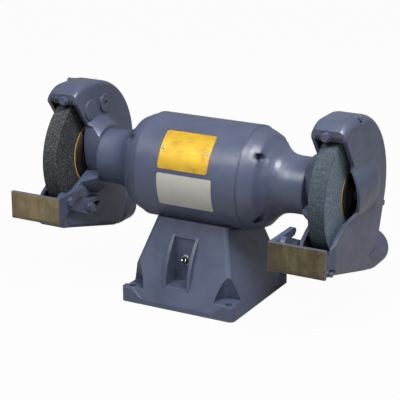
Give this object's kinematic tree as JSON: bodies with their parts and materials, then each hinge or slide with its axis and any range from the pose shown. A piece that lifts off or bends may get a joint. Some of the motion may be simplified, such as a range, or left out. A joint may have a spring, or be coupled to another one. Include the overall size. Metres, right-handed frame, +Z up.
{
  "type": "bench grinder",
  "caption": "Double-ended bench grinder: a motor on a cast pedestal turns two guarded grinding wheels, with spark guards, tilting tool rests, a toggle switch and dust ports.",
  "frame": {"origin": "centre of the pedestal's underside, in the middle of its four bolt holes", "axes": "+X along the arbor to the right wheel as the operator sees it, +Y away from the operator, +Z up"},
  "size_m": [0.54, 0.2878, 0.3168],
  "materials": {
    "grey_enamel": "satin enamel over casting",
    "zinc_steel": "zinc-plated fasteners",
    "black_steel": "black oxide",
    "turned_steel": "turned and ground",
    "rest_face": "machined face with a tan oil film",
    "coarse_wheel": "coarse vitrified abrasive",
    "fine_wheel": "fine vitrified abrasive",
    "blotter": "ochre blotting paper",
    "nameplate_metal": "blank, brushed",
    "label_stock": "blank, matt",
    "black_plastic": "moulded",
    "chrome_lever": "polished",
    "lamination": "stacked laminations",
    "winding_copper": "varnished copper wire",
    "capacitor_can": "drawn can"
  },
  "bodies": {
    "frame": {"bottom_cover": "zinc_steel", "bottom_cover_screws": "grey_enamel", "capacitor": "capacitor_can", "capacitor_strap": "zinc_steel", "cord_gland": "black_plastic", "cord_gland_nut": "black_plastic", "front_label": "label_stock", "left_arm_bolt": "grey_enamel", "left_bearing": "turned_steel", "left_cover_screws": "grey_enamel", "left_end_bell": "grey_enamel", "left_guard_body": "grey_enamel", "left_guard_cover": "grey_enamel", "left_guard_mount_screws": "black_steel", "left_rear_pad_bolts": "grey_enamel", "left_spark_guard_bolt": "grey_enamel", "motor_shell": "grey_enamel", "nameplate": "nameplate_metal", "nameplate_rivets": "turned_steel", "pedestal_base": "grey_enamel", "preload_washer": "turned_steel", "right_arm_bolt": "grey_enamel", "right_bearing": "turned_steel", "right_cover_screws": "grey_enamel", "right_end_bell": "grey_enamel", "right_guard_body": "grey_enamel", "right_guard_cover": "grey_enamel", "right_guard_mount_screws": "black_steel", "right_rear_pad_bolts": "grey_enamel", "right_spark_guard_bolt": "grey_enamel", "saddle_bolts": "zinc_steel", "start_switch": "black_plastic", "stator_core": "lamination", "stator_windings": "winding_copper", "switch_body": "black_plastic", "switch_nut": "zinc_steel", "through_bolts": "grey_enamel"},
    "toggle": {"toggle_lever": "chrome_lever"},
    "arbor": {"arbor_shaft": "turned_steel", "rotor_core": "lamination", "rotor_end_rings": "capacitor_can", "start_actuator": "black_plastic", "left_wheel": "coarse_wheel", "left_blotters": "blotter", "left_inner_flange": "black_steel", "left_outer_flange": "black_steel", "left_arbor_nut": "zinc_steel", "right_wheel": "fine_wheel", "right_blotters": "blotter", "right_inner_flange": "black_steel", "right_outer_flange": "black_steel", "right_arbor_nut": "zinc_steel"},
    "left_spark_tongue": {"left_spark_guard": "grey_enamel"},
    "left_arm": {"left_rest_arm": "grey_enamel", "left_rest_bolt": "grey_enamel"},
    "left_rest": {"left_tool_rest": "rest_face"},
    "right_spark_tongue": {"right_spark_guard": "grey_enamel"},
    "right_arm": {"right_rest_arm": "grey_enamel", "right_rest_bolt": "grey_enamel"},
    "right_rest": {"right_tool_rest": "rest_face"}
  },
  "joints": [
    {"name": "arbor_spin", "type": "hinge", "parent": "frame", "child": "arbor", "pos_m": [0, 0.0074, 0.1973], "axis": [1, 0, 0], "continuous": true},
    {"name": "switch_toggle", "type": "hinge", "parent": "frame", "child": "toggle", "pos_m": [-0.005, -0.0581, 0.069], "axis": [1, 0, 0], "range_deg": [0, 38]},
    {"name": "left_spark_guard_slide", "type": "slide", "parent": "frame", "child": "left_spark_tongue", "axis": [0, 0, -1], "range_m": [0, 0.0025]},
    {"name": "left_arm_slide", "type": "slide", "parent": "frame", "child": "left_arm", "axis": [0, -1, 0], "range_m": [0, 0.025]},
    {"name": "left_rest_tilt", "type": "hinge", "parent": "left_arm", "child": "left_rest", "pos_m": [-0.19, -0.1076, 0.151], "axis": [1, 0, 0], "range_deg": [-90, 0]},
    {"name": "right_spark_guard_slide", "type": "slide", "parent": "frame", "child": "right_spark_tongue", "axis": [0, 0, -1], "range_m": [0, 0.0025]},
    {"name": "right_arm_slide", "type": "slide", "parent": "frame", "child": "right_arm", "axis": [0, -1, 0], "range_m": [-0.019, 0.006]},
    {"name": "right_rest_tilt", "type": "hinge", "parent": "right_arm", "child": "right_rest", "pos_m": [0.19, -0.1266, 0.151], "axis": [1, 0, 0], "range_deg": [-90, 0]}
  ]
}
